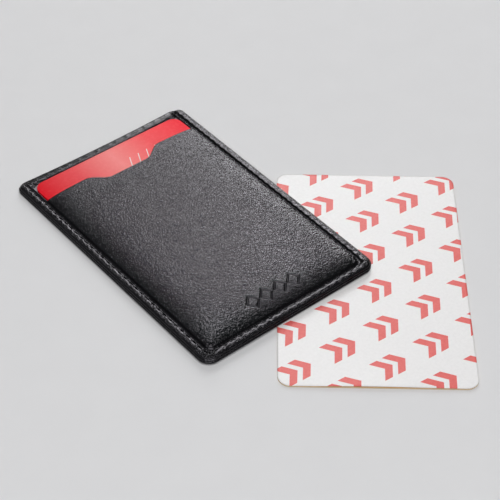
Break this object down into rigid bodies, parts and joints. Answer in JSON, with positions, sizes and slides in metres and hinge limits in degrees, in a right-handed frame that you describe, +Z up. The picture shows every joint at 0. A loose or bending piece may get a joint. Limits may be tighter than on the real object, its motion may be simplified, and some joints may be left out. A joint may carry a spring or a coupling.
{
  "type": "card holder",
  "caption": "Flat stitched leather sleeve with a notched mouth, a bank card in its pocket and one corner lying on its double-sided adhesive pad.",
  "frame": {"origin": "centre of the sleeve's back face, the face that is stuck to a phone or another flat surface", "axes": "+Y towards the card's mouth, +X across the sleeve, +Z up from the table, which lies 0.47 mm below the origin; the sleeve leans 0.52 degrees because one corner lies on the pad"},
  "size_m": [0.1066, 0.1441, 0.0044],
  "materials": {
    "leather": "fine pebbled grain, low sheen",
    "lining_fabric": "plain woven, matte",
    "board": "pressed board, matte",
    "shield_foil": "foil, bright",
    "padding_foam": "thin foam, matte",
    "card_plastic": "gloss laminate",
    "printed_paper": "silicone-coated release paper, satin",
    "adhesive": "clear tacky film",
    "carrier_film": "clear film",
    "backing_paper": "kraft release paper, satin"
  },
  "bodies": {
    "sleeve": {"sleeve_front_cover": "leather", "sleeve_front_padding": "padding_foam", "sleeve_front_shield": "shield_foil", "sleeve_front_lining": "lining_fabric", "sleeve_back_lining": "lining_fabric", "sleeve_back_shield": "shield_foil", "sleeve_back_board": "board", "sleeve_back_cover": "leather"},
    "card": {"bank_card": "card_plastic"},
    "pad": {"pad_printed_liner": "printed_paper", "pad_upper_adhesive": "adhesive", "pad_carrier_film": "carrier_film", "pad_lower_adhesive": "adhesive", "pad_backing_liner": "backing_paper"},
    "liner_corner": {"pad_liner_corner": "printed_paper"}
  },
  "joints": [
    {"name": "card_slide", "type": "slide", "parent": "sleeve", "child": "card", "axis": [0, 1, -0.0058], "range_m": [-0.0004, 0.09]},
    {"name": "pad_slide", "type": "slide", "parent": "sleeve", "child": "pad", "axis": [0.7672, -0.6414, 0], "range_m": [0, 0.06]},
    {"name": "liner_peel", "type": "hinge", "parent": "pad", "child": "liner_corner", "pos_m": [0.01969, -0.07707, 0.00011], "axis": [-0.996, -0.0889, 0], "range_deg": [0, 150]}
  ]
}
